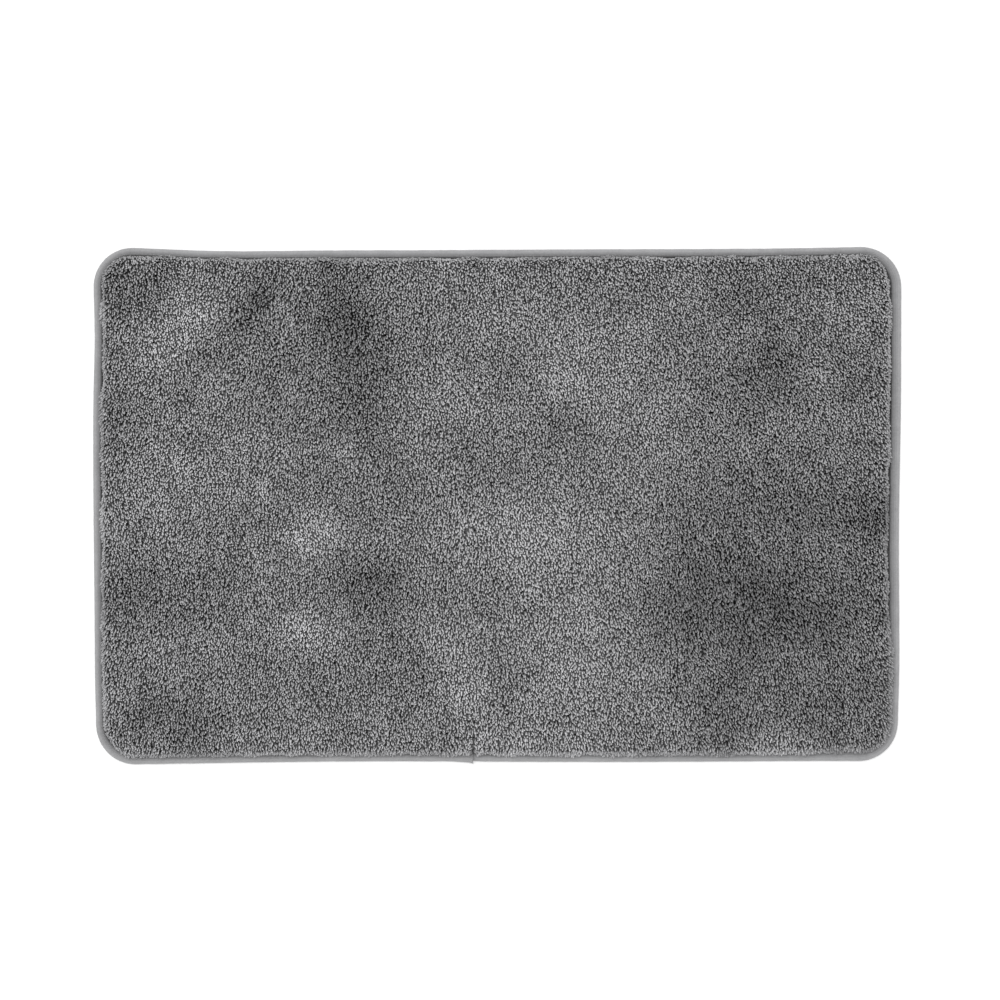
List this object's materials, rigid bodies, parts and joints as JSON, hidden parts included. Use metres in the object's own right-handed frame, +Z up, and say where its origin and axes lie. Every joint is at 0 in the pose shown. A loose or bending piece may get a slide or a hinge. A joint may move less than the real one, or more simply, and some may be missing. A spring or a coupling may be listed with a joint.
{
  "type": "bath mat",
  "caption": "Rectangular tufted bath mat with rounded corners, deep grey cut pile, a folded binding tape round its edge and a dotted anti-slip underside.",
  "frame": {"origin": "centre of the mat's underside, on the plane of the floor", "axes": "+X along the long side, +Y towards the back edge, +Z up out of the pile; the tape's join is on the front edge, -Y"},
  "size_m": [0.8, 0.512, 0.0176],
  "materials": {
    "pile_yarn": "matt grey microfibre cut-pile yarn with a soft sheen at the tips",
    "primary_cloth": "plain-woven grey backing cloth",
    "latex": "dull off-white latex adhesive",
    "felted_backing": "matt grey felted cloth",
    "grip_rubber": "semi-matt pale rubber",
    "binding_tape": "light grey woven tape with fine lengthwise ribs",
    "seam_thread": "twisted grey polyester thread",
    "label_satin": "blank white satin ribbon"
  },
  "bodies": {
    "root": {"cut_pile": "pile_yarn", "primary_backing": "primary_cloth", "tuft_back_stitches": "pile_yarn", "latex_coat": "latex", "backing_cloth": "felted_backing", "grip_rubber": "grip_rubber", "edge_binding": "binding_tape", "join_tack_stitches": "seam_thread", "binding_needle_thread": "seam_thread", "binding_bobbin_thread": "seam_thread", "care_label": "label_satin"}
  },
  "joints": []
}
